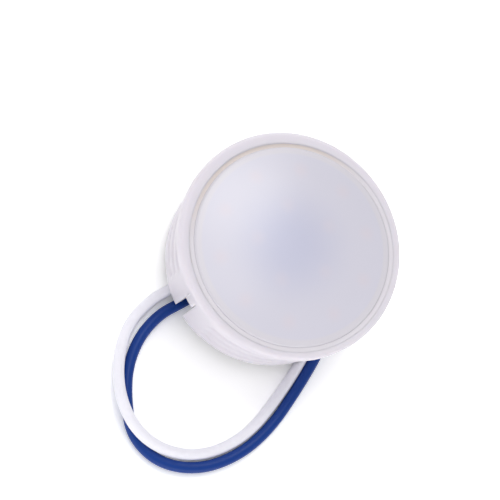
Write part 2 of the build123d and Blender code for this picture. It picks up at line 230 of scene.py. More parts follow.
FLOAT, COLOUR, VECTOR = "NodeSocketFloat", "NodeSocketColor", "NodeSocketVector"
INT, GEOMETRY, OBJECT, MATERIAL = "NodeSocketInt", "NodeSocketGeometry", "NodeSocketObject", "NodeSocketMaterial"


def painted(graph, end, geometry, material):
    """The end of a geometry tree: its copies are made real and take the material."""
    real = graph.add("GeometryNodeRealizeInstances", {"Geometry": geometry})
    done = graph.add("GeometryNodeSetMaterial", {"Geometry": real.outputs[0], "Material": material})
    graph.feed(end.inputs["Geometry"], done.outputs[0])
    return graph.tree


# ---------------------------------------------------------------- shader node groups
def moulding_group():
    """Colour mottling and the fine surface of moulded plastic, rubber and insulation."""
    if "Moulded Surface" in bpy.data.node_groups:
        return bpy.data.node_groups["Moulded Surface"]
    graph, start, end = new_group(
        "Moulded Surface", "ShaderNodeTree",
        {"Colour": (COLOUR, (0.8, 0.8, 0.8, 1)), "Mottle": (FLOAT, 0.03), "Mottle Scale": (FLOAT, 120.0),
         "Roughness": (FLOAT, 0.4), "Roughness Spread": (FLOAT, 0.08), "Grain Scale": (FLOAT, 2500.0)},
        {"Colour": (COLOUR, None), "Roughness": (FLOAT, None), "Height": (FLOAT, None)})
    place = graph.add("ShaderNodeTexCoord").outputs["Object"]
    broad = graph.add("ShaderNodeTexNoise", {"Vector": place, "Scale": start.outputs["Mottle Scale"], "Detail": 3.0})
    fine = graph.add("ShaderNodeTexNoise", {"Vector": place, "Scale": start.outputs["Grain Scale"], "Detail": 2.0})
    swing = graph.math("SUBTRACT", broad.outputs["Fac"], 0.5)
    shade = graph.math("MULTIPLY_ADD", swing, start.outputs["Mottle"], 1.0)
    graph.feed(end.inputs["Colour"], graph.scaled(start.outputs["Colour"], shade))
    spread = graph.math("MULTIPLY", swing, start.outputs["Roughness Spread"])
    graph.feed(end.inputs["Roughness"], graph.math("ADD", start.outputs["Roughness"], spread))
    graph.feed(end.inputs["Height"], fine.outputs["Fac"])
    return graph.tree


def led_glow_group():
    """How strongly the LEDs' warm windows show through the dome: a mask that falls off round each LED."""
    if "LED Shadows" in bpy.data.node_groups:
        return bpy.data.node_groups["LED Shadows"]
    graph, start, end = new_group(
        "LED Shadows", "ShaderNodeTree",
        {"Count": (FLOAT, 10.0), "Ring Radius": (FLOAT, 16.8 * MM), "Start": (FLOAT, 0.0),
         "Spot Radius": (FLOAT, 2.6 * MM), "Centre X": (FLOAT, 0.5 * MM)},
        {"Mask": (FLOAT, None)})
    parts = graph.add("ShaderNodeSeparateXYZ", {0: graph.add("ShaderNodeTexCoord").outputs["Object"]})
    x = graph.math("SUBTRACT", parts.outputs["X"], start.outputs["Centre X"])
    y = parts.outputs["Y"]
    radius = graph.hypotenuse(x, y)
    turn = graph.math("DIVIDE", graph.math("ARCTAN2", y, x), 2 * math.pi)
    cell = graph.math("MULTIPLY", graph.math("SUBTRACT", turn, start.outputs["Start"]), start.outputs["Count"])
    off = graph.math("SUBTRACT", cell, graph.math("ROUND", cell))
    along = graph.math("MULTIPLY", graph.math("DIVIDE", off, start.outputs["Count"]), 2 * math.pi)
    across = graph.math("MULTIPLY", along, start.outputs["Ring Radius"])
    out = graph.math("SUBTRACT", radius, start.outputs["Ring Radius"])
    gap = graph.hypotenuse(across, out)
    near = graph.smooth(graph.math("DIVIDE", gap, start.outputs["Spot Radius"]), 0.0, 1.0, 1.0, 0.0)
    graph.feed(end.inputs["Mask"], near)
    return graph.tree


# ---------------------------------------------------------------- materials
def new_material(name):
    """A material with nodes, its graph and its shader."""
    material = bpy.data.materials.new(name)
    material.use_nodes = True
    graph = Graph(material.node_tree)
    return material, graph, material.node_tree.nodes["Principled BSDF"]


def moulded(graph, shader, inputs):
    """Gives a shader the colour and roughness of a moulded surface; returns the group's node."""
    look = graph.add("ShaderNodeGroup", inputs, node_tree=moulding_group())
    graph.feed(shader.inputs["Base Color"], look.outputs["Colour"])
    graph.feed(shader.inputs["Roughness"], look.outputs["Roughness"])
    return look


def surface_material(name, colour, roughness=0.4, mottle=0.03, mottle_scale=120.0, grain=0.0, grain_scale=2500.0,
                     metallic=0.0, specular=0.5, subsurface=0.0):
    """A finish that uses the moulded surface group with its own values; grain is the bump's depth in mm."""
    material, graph, shader = new_material(name)
    look = moulded(graph, shader, {"Colour": (*colour, 1.0), "Mottle": mottle, "Mottle Scale": mottle_scale,
                                   "Roughness": roughness, "Grain Scale": grain_scale})
    shader.inputs["Metallic"].default_value = metallic
    shader.inputs["Specular IOR Level"].default_value = specular
    if subsurface:
        shader.inputs["Subsurface Weight"].default_value = subsurface
        shader.inputs["Subsurface Radius"].default_value = (1.0, 0.95, 0.9)
        shader.inputs["Subsurface Scale"].default_value = 1.5 * MM
    if grain:
        bump = graph.add("ShaderNodeBump", {"Height": look.outputs["Height"], "Distance": grain * MM})
        graph.feed(shader.inputs["Normal"], bump.outputs["Normal"])
    return material


FINISHES = {
    "white_plastic": dict(colour=(0.78, 0.745, 0.80), roughness=0.42, mottle=0.03, grain=0.01),
    "seal_rubber": dict(colour=(0.62, 0.60, 0.56), roughness=0.7, mottle=0.08, grain=0.02),
    "board_white": dict(colour=(0.86, 0.86, 0.84), roughness=0.35, mottle=0.03),
    "led_white": dict(colour=(0.85, 0.84, 0.78), roughness=0.45, mottle=0.05),
    "led_phosphor": dict(colour=(0.86, 0.55, 0.10), roughness=0.2, mottle=0.1),
    "steel": dict(colour=(0.62, 0.62, 0.63), roughness=0.3, mottle=0.1, metallic=1.0),
    "thermal_grey": dict(colour=(0.40, 0.45, 0.52), roughness=0.8, mottle=0.1, grain=0.02),
    "aluminium": dict(colour=(0.74, 0.75, 0.76), roughness=0.38, mottle=0.08, metallic=1.0),
    "board_green": dict(colour=(0.02, 0.16, 0.06), roughness=0.35, mottle=0.2),
    "component_black": dict(colour=(0.02, 0.02, 0.022), roughness=0.5, mottle=0.2, grain=0.01),
    "sleeve_dark": dict(colour=(0.02, 0.025, 0.04), roughness=0.25, mottle=0.1),
    "resistor_green": dict(colour=(0.06, 0.20, 0.14), roughness=0.35, mottle=0.1),
    "varistor_blue": dict(colour=(0.01, 0.06, 0.35), roughness=0.3, mottle=0.1),
    "tinned": dict(colour=(0.66, 0.66, 0.65), roughness=0.32, mottle=0.15, metallic=1.0),
    "potting": dict(colour=(0.05, 0.05, 0.055), roughness=0.3, mottle=0.1),
    "white_insulation": dict(colour=(0.80, 0.79, 0.88), roughness=0.36, mottle=0.05),
    "blue_insulation": dict(colour=(0.012, 0.045, 0.33), roughness=0.36, mottle=0.05),
}


def tinted(colour, *factors):
    """A colour with its red, green and blue scaled."""
    return (*(part * factor for part, factor in zip(colour, factors)), 1.0)


def level_offset(graph):
    """The level part of the way from the middle of the optics to the shaded point."""
    off = graph.vector("SUBTRACT", graph.add("ShaderNodeTexCoord").outputs["Object"], OPTICS * MM)
    return graph.vector("MULTIPLY", off, Vector((1, 1, 0)))


def lens_material(size, leds):
    """Opal plastic with painted shade that makes it darker and bluer near its middle, painted light that makes it
    paler at its edge, and a little warmer over each LED.
    """
    material, graph, shader = new_material("opal_diffuser")
    off = level_offset(graph)
    from_shade_middle = graph.vector("SUBTRACT", off, Vector((-0.7, -1.2, 0)) * MM)      # from the middle of the painted shade, a little off the optics
    # painted shade: from the deep colour in the middle to the plain colour towards the edge
    depth = graph.smooth(graph.vector("LENGTH", from_shade_middle), 2.0 * MM, 16.0 * MM)
    look = moulded(graph, shader, {
        "Colour": graph.mix_colour(depth, (*size.deep_shade, 1.0), (*size.colour, 1.0)), "Mottle": 0.015,
        "Mottle Scale": 90.0, "Roughness": 0.24, "Roughness Spread": 0.03})
    # painted highlight: the dome is painted paler in a ring just inside its edge
    edge = graph.smooth(graph.vector("LENGTH", off), (LENS_RADIUS - 1.9) * MM, (LENS_RADIUS - 1.2) * MM)
    shown = graph.mix_colour(edge, look.outputs["Colour"], tinted(size.colour, 1.035, 1.02, 0.975))
    rings = ((leds.outer_count, leds.outer_radius, 0.0, 0.32),
             (leds.inner_count, leds.inner_radius, leds.inner_start / 360, 0.2))
    for count, radius, begin, strength in rings:
        spots = graph.add("ShaderNodeGroup", {
            "Count": count, "Ring Radius": radius * MM, "Start": begin, "Centre X": OPTICS.x * MM},
            node_tree=led_glow_group())
        share = graph.math("MULTIPLY", spots.outputs["Mask"], strength)
        shown = graph.mix_colour(share, shown, tinted(size.colour, 1.10, 0.98, 0.93))
    graph.feed(shader.inputs["Base Color"], shown)
    return material


def seal_material():
    """Silicone that is the housing's white where it is flush, with warm painted shade on the side where it lies
    deeper.
    """
    material, graph, shader = new_material("silicone_seal")
    direction = graph.vector("NORMALIZE", level_offset(graph))
    side = graph.vector("DOT_PRODUCT", direction, Vector((math.cos(SEAL_DEEP_SHADE), math.sin(SEAL_DEEP_SHADE), 0)))
    # painted shade: the deep colour is a warm shadow painted into the groove on the side where the seal lies deeper
    flush, deep_shade = (0.715, 0.685, 0.735, 1.0), (0.74, 0.665, 0.63, 1.0)
    colour = graph.mix_colour(graph.smooth(side, 0.3, 0.9), flush, deep_shade)
    moulded(graph, shader, {"Colour": colour, "Mottle": 0.03, "Mottle Scale": 150.0, "Roughness": 0.5,
                            "Roughness Spread": 0.06})
    return material


def stage_material():
    """White table, brighter for the camera and in glossy surfaces than the plain white that lights the lamp."""
    material, graph, shader = new_material("white_table")
    graph.tree.nodes.remove(shader)
    path = graph.add("ShaderNodeLightPath")
    seen = graph.math("MAXIMUM", path.outputs["Is Camera Ray"], path.outputs["Is Glossy Ray"])
    # a diffuse colour ends at white, so what is to be brighter is the sum of two
    plain, white, more = (graph.add("ShaderNodeBsdfDiffuse", {"Color": (shade, shade, shade, 1)}).outputs[0]
                          for shade in (0.97, 1.0, 0.22))
    glow = graph.add("ShaderNodeEmission", {"Color": (1, 1, 1, 1), "Strength": 0.12}).outputs[0]
    bright = graph.add("ShaderNodeAddShader", {0: white, 1: more}).outputs[0]
    bright = graph.add("ShaderNodeAddShader", {0: bright, 1: glow}).outputs[0]
    both = graph.add("ShaderNodeMixShader", {0: seen, 1: plain, 2: bright})
    graph.feed(graph.tree.nodes["Material Output"].inputs["Surface"], both.outputs[0])
    return material


# ---------------------------------------------------------------- mesh helpers
def link(name, data):
    """A new object with the data, in the scene."""
    piece = bpy.data.objects.new(name, data)
    bpy.context.scene.collection.objects.link(piece)
    return piece


def built(name, bm):
    """A piece with the faces of a bmesh, which is used up."""
    bmesh.ops.recalc_face_normals(bm, faces=bm.faces)
    mesh = bpy.data.meshes.new(name)
    bm.to_mesh(mesh)
    bm.free()
    return link(name, mesh)


def finish_mesh(piece, material, body, replaced):
    """Smooth shading with sharp edges, the material, and the body and the nodes that it stands for."""
    mesh = piece.data
    mesh.polygons.foreach_set("use_smooth", [True] * len(mesh.polygons))
    mesh.set_sharp_from_angle(angle=math.radians(38))
    if not mesh.materials:
        mesh.materials.append(material)
    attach(piece, body)
    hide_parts(*replaced)
    return piece


def arc(centre, radius, start, stop, steps):
    """Profile points on an arc, as (radius, height), angles in degrees."""
    turns = [math.radians(start + (stop - start) * i / steps) for i in range(steps + 1)]
    return [(centre[0] + radius * math.cos(t), centre[1] + radius * math.sin(t)) for t in turns]


def lathe(bm, rows, angles, centre=Vector((0, 0, 0)), close=True):
    """Revolves profile rows of (radius, height) in mm; a row with no radius becomes one pole."""
    rings = []
    for radius, height in rows:
        if radius < 1e-6:
            rings.append([bm.verts.new((centre.x * MM, centre.y * MM, height * MM))])
            continue
        ring = [((centre.x + radius * math.cos(a)) * MM, (centre.y + radius * math.sin(a)) * MM, height * MM)
                for a in angles]
        rings.append([bm.verts.new(point) for point in ring])
    pairs = list(zip(rings, rings[1:])) + ([(rings[-1], rings[0])] if close else [])
    for lower, upper in pairs:
        for i in range(len(angles)):
            j = (i + 1) % len(angles)
            if len(lower) == 1 and len(upper) == 1:
                break
            if len(lower) == 1:
                bm.faces.new((lower[0], upper[i], upper[j]))
            elif len(upper) == 1:
                bm.faces.new((lower[i], lower[j], upper[0]))
            else:
                bm.faces.new((lower[i], lower[j], upper[j], upper[i]))
    return rings


def even_turn(count):
    """Even angles all the way round."""
    return [2 * math.pi * i / count for i in range(count)]


def on_circle(radius, angle, middle=0.0):
    """A point on a circle about the lamp's axis, or about a middle on X; the angle is in degrees."""
    return middle + radius * math.cos(math.radians(angle)), radius * math.sin(math.radians(angle))


def skin(bm, rings):
    """Joins loops of vertices in turn and closes the first and the last."""
    for near, far in zip(rings, rings[1:]):
        for i in range(len(near)):
            j = (i + 1) % len(near)
            bm.faces.new((near[i], near[j], far[j], far[i]))
    bm.faces.new(list(reversed(rings[0])))
    bm.faces.new(rings[-1])


def bevelled_box(bm, low, high, bevel):
    """A box between two corners in mm with rounded edges."""
    size = [(b - a) * MM for a, b in zip(low, high)]
    middle = [(b + a) / 2 * MM for a, b in zip(low, high)]
    placed = Matrix.Translation(middle) @ Matrix.Diagonal((*size, 1.0))
    made = bmesh.ops.create_cube(bm, size=1.0, matrix=placed)
    edges = list({edge for vert in made["verts"] for edge in vert.link_edges})
    bmesh.ops.bevel(bm, geom=edges, offset=bevel * MM, segments=3, profile=0.5, affect="EDGES")


def apply_modifiers(piece):
    """Makes the evaluated mesh of a piece its own plain mesh."""
    graph = bpy.context.evaluated_depsgraph_get()
    mesh = bpy.data.meshes.new_from_object(piece.evaluated_get(graph))
    piece.modifiers.clear()
    old, piece.data = piece.data, mesh
    mesh.name = piece.name
    bpy.data.meshes.remove(old)


def run_tree(piece, tree, values):
    """Puts a geometry tree on a piece with values by socket name, then makes the result its mesh."""
    modifier = piece.modifiers.new(tree.name, "NODES")
    modifier.node_group = tree
    for item in tree.interface.items_tree:
        if item.item_type == "SOCKET" and item.in_out == "INPUT" and item.name in values:
            modifier[item.identifier] = values[item.name]
    apply_modifiers(piece)


# ---------------------------------------------------------------- housing
def stations(radius, low, high):
    """Evenly spaced profile points straight up from one height, which is left out, to another."""
    count = round((high - low) / 0.16)
    return [(radius, low + (high - low) * i / count) for i in range(1, count + 1)]


def housing_rows(size):
    """The housing's closed section: up the skirt's outside, round the rim and the seat, and down its inside.

    A row is (radius, height, whether it is centred on the optics). Also returned is how many rows the notch cuts.
    """
    skirt, bore = size.skirt_radius, size.skirt_radius - WALL
    rim_under = RIM_TOP - size.rim_thickness
    notch_top = rim_under - KEY_HEIGHT
    foot, rim_foot = 0.2, 0.3      # rounded edges at the skirt's rear and at the rim's underside
    outside = [(bore, notch_top), (bore, REAR_EDGE + 0.12), (bore + 0.12, REAR_EDGE)]
    outside += arc((skirt - foot, REAR_EDGE + foot), foot, -90, 0, 4)
    outside += stations(skirt, REAR_EDGE + foot, notch_top)
    cut_rows = len(outside) - 1
    outside += stations(skirt, notch_top, rim_under - 0.15)
    outside += [(skirt + 0.05, rim_under - 0.04), (skirt + 0.15, rim_under)]
    outside += arc((RIM_RADIUS - rim_foot, rim_under + rim_foot), rim_foot, -90, 0, 5)
    outside += arc((RIM_RADIUS - size.rim_round, RIM_TOP - size.rim_round), size.rim_round, 0, 90, 10)
    seat = arc((SEAT_RADIUS + SEAT_ROUND, RIM_TOP - SEAT_ROUND), SEAT_ROUND, 90, 180, 6)
    seat += [(SEAT_RADIUS, SEAT_FLOOR), (SHELF_OPENING, SEAT_FLOOR), (SHELF_OPENING, SHELF_UNDER)]
    inside = [(bore, SHELF_UNDER), (bore, LEDGE_TOP), (bore - LEDGE_WIDTH, LEDGE_TOP),
              (bore - LEDGE_WIDTH, LEDGE_UNDER), (bore, LEDGE_UNDER)]
    parts = ((outside, False), (seat, True), (inside, False))
    return [(*point, optics) for points, optics in parts for point in points], cut_rows


def housing_mesh(size):
    """The housing as one closed shell, with the lead notch cut through the skirt at -Y."""
    bm = bmesh.new()
    rows, cut = housing_rows(size)
    inside = [-0.5 * NOTCH_HALF, 0.0, 0.5 * NOTCH_HALF]
    edge_turn = math.asin(NOTCH_HALF / size.skirt_radius)
    count = 236      # columns round the skirt from one edge of the notch to the other
    around = [edge_turn + (2 * math.pi - 2 * edge_turn) * i / count for i in range(1, count)]
    columns = [("x", x) for x in [-NOTCH_HALF, *inside, NOTCH_HALF]] + [("turn", t) for t in around]
    grid = []
    for radius, height, optics in rows:
        ring = []
        for kind, value in columns:
            turn = math.asin(value / radius) if kind == "x" else value
            x, y = radius * math.sin(turn), -radius * math.cos(turn)
            ring.append(bm.verts.new(((x + (OPTICS.x if optics else 0.0)) * MM, y * MM, height * MM)))
        grid.append(ring)
    last = len(columns)
    notch = range(len(inside) + 1)
    for i, lower in enumerate(grid):
        upper = grid[(i + 1) % len(grid)]
        for j in range(last):
            if i < cut and j in notch:
                continue
            k = (j + 1) % last
            bm.faces.new((lower[j], lower[k], upper[k], upper[j]))
    for j in notch:
        bm.faces.new((grid[0][j], grid[0][j + 1], grid[cut][j + 1], grid[cut][j]))
    for j in (0, len(inside) + 1):
        bm.faces.new([grid[i][j] for i in range(cut + 1)])
    return bm


def ring_tree():
    """Geometry tree: presses shallow rings into the skirt, all round but for the smooth pad at the notch."""
    graph, start, end = new_group(
        "Skirt Rings", "GeometryNodeTree",
        {"Geometry": (GEOMETRY, None), "Skirt Radius": (FLOAT, 23.1 * MM), "High": (FLOAT, 0.0),
         "First Ring": (FLOAT, 0.0), "Pitch": (FLOAT, 0.0), "Count": (INT, 4), "Depth": (FLOAT, 0.0),
         "Section Radius": (FLOAT, 0.0), "Pad Angle": (FLOAT, 0.3), "Pad Height": (FLOAT, 0.0),
         "Material": (MATERIAL, None)},
        {"Geometry": (GEOMETRY, None)})
    value = start.outputs
    x, y, z = graph.add("ShaderNodeSeparateXYZ", {0: graph.add("GeometryNodeInputPosition").outputs[0]}).outputs
    flat = graph.add("ShaderNodeCombineXYZ", {0: x, 1: y}).outputs[0]
    radius = graph.vector("LENGTH", flat)
    step = graph.math("DIVIDE", graph.math("SUBTRACT", z, value["First Ring"]), value["Pitch"])
    last = graph.math("SUBTRACT", value["Count"], 1.0)
    ring = graph.math("MAXIMUM", graph.math("MINIMUM", graph.math("ROUND", step), last), 0.0)
    level = graph.math("MULTIPLY_ADD", ring, value["Pitch"], value["First Ring"])
    off = graph.math("SUBTRACT", z, level)
    section = value["Section Radius"]
    square = graph.math("SUBTRACT", graph.math("MULTIPLY", section, section), graph.math("MULTIPLY", off, off))
    bulge = graph.math("SQRT", graph.math("MAXIMUM", square, 0.0))
    clear = graph.math("SUBTRACT", section, value["Depth"])
    depth = graph.math("MAXIMUM", graph.math("SUBTRACT", bulge, clear), 0.0)
    turn = graph.math("ARCTAN2", graph.math("ABSOLUTE", x), graph.math("MULTIPLY", y, -1.0))
    soft = 0.02      # half the angle over which the pad fades out
    pad = graph.smooth(turn, graph.math("SUBTRACT", value["Pad Angle"], soft),
                       graph.math("ADD", value["Pad Angle"], soft), 1.0, 0.0)
    press = graph.math("MULTIPLY", depth, graph.math("SUBTRACT", 1.0, pad))
    shift = graph.math("SUBTRACT", graph.math("MULTIPLY", pad, value["Pad Height"]), press)
    move = graph.scaled(graph.vector("NORMALIZE", flat), shift)
    outside = graph.math("GREATER_THAN", radius, graph.math("SUBTRACT", value["Skirt Radius"], 0.03 * MM))
    inside = graph.math("LESS_THAN", radius, graph.math("ADD", value["Skirt Radius"], 0.01 * MM))
    below = graph.math("LESS_THAN", z, value["High"])
    chosen = graph.math("MULTIPLY", graph.math("MULTIPLY", outside, inside), below)
    moved = graph.add("GeometryNodeSetPosition",
                      {"Geometry": value["Geometry"], "Selection": chosen, "Offset": move})
    return painted(graph, end, moved.outputs[0], value["Material"])


class PUCK_OT_housing(bpy.types.Operator):
    """Builds the rim, the lens seat and the ringed skirt with its lead notch"""
    bl_idname = "puck.housing"
    bl_label = "Housing"

    def execute(self, context):
        size = context.scene.puck_housing
        material = surface_material("moulded_white", size.colour, roughness=0.42, mottle=0.02, grain=0.004,
                                    subsurface=1.0)
        piece = built("ringed_housing", housing_mesh(size))
        skirt, rim_under = size.skirt_radius, RIM_TOP - size.rim_thickness
        run_tree(piece, ring_tree(), {
            "Skirt Radius": skirt * MM, "High": (rim_under - 0.1) * MM,
            "First Ring": (REAR_EDGE + size.ring_first) * MM, "Pitch": size.ring_pitch * MM,
            "Count": size.ring_count, "Depth": size.ring_depth * MM, "Section Radius": size.ring_section * MM,
            "Pad Angle": math.radians(size.pad_angle), "Pad Height": 0.15 * MM, "Material": material})
        bm = bmesh.new()
        bm.from_mesh(piece.data)
        bevelled_box(bm, (-KEY_HALF, -skirt - 1.0, rim_under - KEY_HEIGHT + 0.02),
                     (KEY_HALF, -skirt + 0.6, rim_under + 0.2), 0.2)
        bm.to_mesh(piece.data)
        bm.free()
        finish_mesh(piece, material, LAMP, ["housing"])
        return {"FINISHED"}


# ---------------------------------------------------------------- lens
class PUCK_OT_lens(bpy.types.Operator):
    """Builds the opal dome with its upright edge"""
    bl_idname = "puck.lens"
    bl_label = "Lens"

    def execute(self, context):
        size = context.scene.puck_lens
        low, top = LENS_LOW.z, LENS_HIGH.z
        edge = LENS_RADIUS
        rise = top - low - size.edge_height
        sphere = (edge**2 + rise**2) / (2 * rise)
        centre = top - sphere
        corner = self.corner(edge, sphere, centre, size.edge_round)
        half = math.degrees(math.asin(corner["touch"] / sphere))
        rows = [(0.0, top)] + arc((0.0, centre), sphere, 90 - half / 24, 90 - half, 23)
        rows += arc(corner["centre"], size.edge_round, corner["turn"], 0, 8)[1:]
        rows += [(edge, low + 0.1), (edge - 0.1, low), (edge - size.edge_wall, low)]
        inner = sphere - size.wall
        reach = edge - size.edge_wall
        inner_half = math.degrees(math.asin(reach / inner))
        rows += arc((0.0, centre), inner, 90 - inner_half, 90 - inner_half / 16, 15) + [(0.0, centre + inner)]
        bm = bmesh.new()
        lathe(bm, rows, even_turn(240), OPTICS, close=False)
        material = lens_material(size, context.scene.puck_leds)
        finish_mesh(built("opal_dome", bm), material, LENS, ["diffuser_lens"])
        return {"FINISHED"}

    @staticmethod
    def corner(edge, sphere, centre, radius):
        """The fillet between the dome's sphere and its upright edge."""
        x = edge - radius
        z = centre + math.sqrt((sphere - radius) ** 2 - x**2)
        turn = math.degrees(math.atan2(z - centre, x))
        touch = sphere * math.cos(math.radians(turn))
        return {"centre": (x, z), "turn": turn, "touch": touch}


# ---------------------------------------------------------------- LEDs and screws
def ring_copies_group():
    """Copies of a template on a circle, each turned to face away from the middle."""
    if "Ring Copies" in bpy.data.node_groups:
        return bpy.data.node_groups["Ring Copies"]
    graph, start, end = new_group(
        "Ring Copies", "GeometryNodeTree",
        {"Template": (GEOMETRY, None), "Count": (INT, 10), "Radius": (FLOAT, 0.01), "Start": (FLOAT, 0.0),
         "Centre": (VECTOR, None)},
        {"Copies": (GEOMETRY, None)})
    value = start.outputs
    circle = graph.add("GeometryNodeMeshCircle", {"Vertices": value["Count"], "Radius": value["Radius"]})
    begin = graph.add("ShaderNodeCombineXYZ", {2: value["Start"]}).outputs[0]
    placed = graph.add("GeometryNodeTransform", {"Geometry": circle.outputs[0], "Translation": value["Centre"],
                                                 "Rotation": begin})
    index = graph.add("GeometryNodeInputIndex").outputs[0]
    turn = graph.math("MULTIPLY_ADD", index, graph.math("DIVIDE", 2 * math.pi, value["Count"]), value["Start"])
    facing = graph.add("ShaderNodeCombineXYZ", {2: turn}).outputs[0]
    copies = graph.add("GeometryNodeInstanceOnPoints", {"Points": placed.outputs[0], "Instance": value["Template"],
                                                        "Rotation": facing})
    graph.feed(end.inputs["Copies"], copies.outputs[0])
    return graph.tree


def led_tree():
    """Geometry tree: an outer and an inner ring of copies of one piece of an LED."""
    if "LED Rings" in bpy.data.node_groups:
        return bpy.data.node_groups["LED Rings"]
    graph, start, end = new_group(
        "LED Rings", "GeometryNodeTree",
        {"Geometry": (GEOMETRY, None), "Outer Count": (INT, 10), "Outer Radius": (FLOAT, 16.8 * MM),
         "Inner Count": (INT, 5), "Inner Radius": (FLOAT, 8.6 * MM), "Inner Start": (FLOAT, 0.0),
         "Centre": (VECTOR, None), "Material": (MATERIAL, None)},
        {"Geometry": (GEOMETRY, None)})
    value = start.outputs
    join = graph.add("GeometryNodeJoinGeometry")
    for ring in ("Outer", "Inner"):
        copies = graph.add("GeometryNodeGroup", {
            "Template": value["Geometry"], "Count": value[f"{ring} Count"], "Radius": value[f"{ring} Radius"],
            "Centre": value["Centre"]}, node_tree=ring_copies_group())
        graph.feed(join.inputs[0], copies.outputs[0])
    graph.feed(copies.inputs["Start"], value["Inner Start"])
    return painted(graph, end, join.outputs[0], value["Material"])


def places_tree():
    """Geometry tree: one copy of a template object at each vertex of a mesh of places."""
    if "Screw Places" in bpy.data.node_groups:
        return bpy.data.node_groups["Screw Places"]
    graph, start, end = new_group(
        "Screw Places", "GeometryNodeTree",
        {"Geometry": (GEOMETRY, None), "Template": (OBJECT, None), "Turn": (FLOAT, 0.4),
         "Material": (MATERIAL, None)},
        {"Geometry": (GEOMETRY, None)})
    value = start.outputs
    template = graph.add("GeometryNodeObjectInfo", {"Object": value["Template"]}).outputs["Geometry"]
    index = graph.add("GeometryNodeInputIndex").outputs[0]
    facing = graph.add("ShaderNodeCombineXYZ", {2: graph.math("MULTIPLY", index, value["Turn"])}).outputs[0]
    copies = graph.add("GeometryNodeInstanceOnPoints", {"Points": value["Geometry"], "Instance": template,
                                                        "Rotation": facing})
    return painted(graph, end, copies.outputs[0], value["Material"])


def rounded_loft(bm, loops, middle=0.0):
    """A closed shape about a middle on X, through rounded rectangles (width, depth, corner, height) in mm."""
    rings, steps = [], 3
    for width, depth, corner, height in loops:
        ring = []
        for quarter, (sx, sy) in enumerate(((1, 1), (-1, 1), (-1, -1), (1, -1))):
            for i in range(steps + 1):
                turn = math.pi / 2 * (quarter + i / steps)
                x = middle + sx * (width / 2 - corner) + corner * math.cos(turn)
                y = sy * (depth / 2 - corner) + corner * math.sin(turn)
                ring.append(bm.verts.new((x * MM, y * MM, height * MM)))
        rings.append(ring)
    skin(bm, rings)


def boolean(piece, other, operation="DIFFERENCE"):
    """Cuts or joins another piece, which is used up."""
    modifier = piece.modifiers.new(operation, "BOOLEAN")
    modifier.object = other
    modifier.operation = operation
    modifier.solver = "EXACT"
    apply_modifiers(piece)
    bpy.data.meshes.remove(other.data)


class PUCK_OT_leds(bpy.types.Operator):
    """Builds the two rings of LEDs: bodies, phosphor windows and tinned terminals"""
    bl_idname = "puck.leds"
    bl_label = "LEDs"

    def execute(self, context):
        size = context.scene.puck_leds
        body = [(3.3, 2.6, 0.1, 0.0), (3.5, 2.8, 0.15, 0.1), (3.5, 2.8, 0.15, 0.58), (3.4, 2.7, 0.15, 0.65),
                (2.8, 2.1, 0.4, 0.65), (2.68, 1.98, 0.36, 0.6), (2.4, 1.7, 0.3, 0.45)]
        window = [(2.4, 1.7, 0.3, 0.46), (2.62, 1.92, 0.36, 0.59), (1.9, 1.3, 0.4, 0.62)]
        pad = [(0.7, 2.0, 0.1, 0.0), (0.7, 2.0, 0.1, 0.1), (0.6, 1.9, 0.1, 0.13)]
        made = (("led_bodies", [(body, 0.0)], "led_white", ["led_packages"]),
                ("led_windows", [(window, 0.0)], "led_phosphor", ["led_phosphors"]),
                ("led_terminals", [(pad, -1.75), (pad, 1.75)], "tinned", []))
        for name, shapes, slot, replaced in made:
            bm = bmesh.new()
            for loops, x in shapes:
                rounded_loft(bm, loops, x)
            piece = built(name, bm)
            material = surface_material(f"{name}_finish", **FINISHES[slot])
            run_tree(piece, led_tree(), {
                "Outer Count": size.outer_count, "Outer Radius": size.outer_radius * MM,
                "Inner Count": size.inner_count, "Inner Radius": size.inner_radius * MM,
                "Inner Start": math.radians(size.inner_start),
                "Centre": (OPTICS.x * MM, 0.0, BOARD_TOP * MM), "Material": material})
            finish_mesh(piece, material, LAMP, replaced)
        return {"FINISHED"}


# for each set of screws: their angles, the radius of their circle, its middle on X, and the side of their heads
SCREWS = {"board_screws": ((54, 162, 306), 12.6, OPTICS.x, 1), "rear_cover_screws": ((90, 210, 330), 18.4, 0.0, -1)}


def pan_screw(shank, side):
    """A pan-head screw with a cross recess; its head's seat is at the origin and its head points to side."""
    bm = bmesh.new()
    rows = [(0.0, SCREW_HEAD), (0.8, SCREW_HEAD - 0.03)] + arc((1.1, SCREW_HEAD - 0.8), 0.8, 80, 0, 8)
    rows += [(1.9, 0.05), (1.85, 0.0), (0.98, 0.0), (0.98, -shank + 0.5), (0.6, -shank), (0.0, -shank)]
    lathe(bm, [(r, z * side) for r, z in rows], even_turn(40), close=False)
    piece = built("screw_template", bm)
    for width, depth in ((2.1, 0.42), (0.42, 2.1)):
        cutter = bmesh.new()
        rounded_loft(cutter, [(width * 0.45, depth * 0.45, 0.02, 0.45 * side), (width, depth, 0.02, 1.4 * side)])
        boolean(piece, built("recess", cutter))
    return piece


class PUCK_OT_screws(bpy.types.Operator):
    """Builds the pan-head screws of the LED board and of the rear cover"""
    bl_idname = "puck.screws"
    bl_label = "Screws"

    def execute(self, context):
        material = surface_material("screw_steel", **FINISHES["steel"])
        for node, (angles, circle, middle, side) in SCREWS.items():
            low, high = node_box(node)
            seat = high.z - SCREW_HEAD if side > 0 else low.z + SCREW_HEAD
            places = [Vector((*on_circle(circle, angle, middle), seat)) * MM for angle in angles]
            mesh = bpy.data.meshes.new(node)
            mesh.from_pydata(places, [], [])
            piece = link(f"{node}_set", mesh)
            template = pan_screw(high.z - low.z - SCREW_HEAD, side)
            run_tree(piece, places_tree(), {"Template": template, "Turn": 0.7, "Material": material})
            bpy.data.meshes.remove(template.data)
            finish_mesh(piece, material, LAMP, [node])
        return {"FINISHED"}


# ---------------------------------------------------------------- rear cover
BOARD_POSTS = (20, 140, 305)         # angles of the posts that the driver board sits on
SPREADER_POSTS = (30, 150, 270)      # angles of the posts that hold the heat spreader


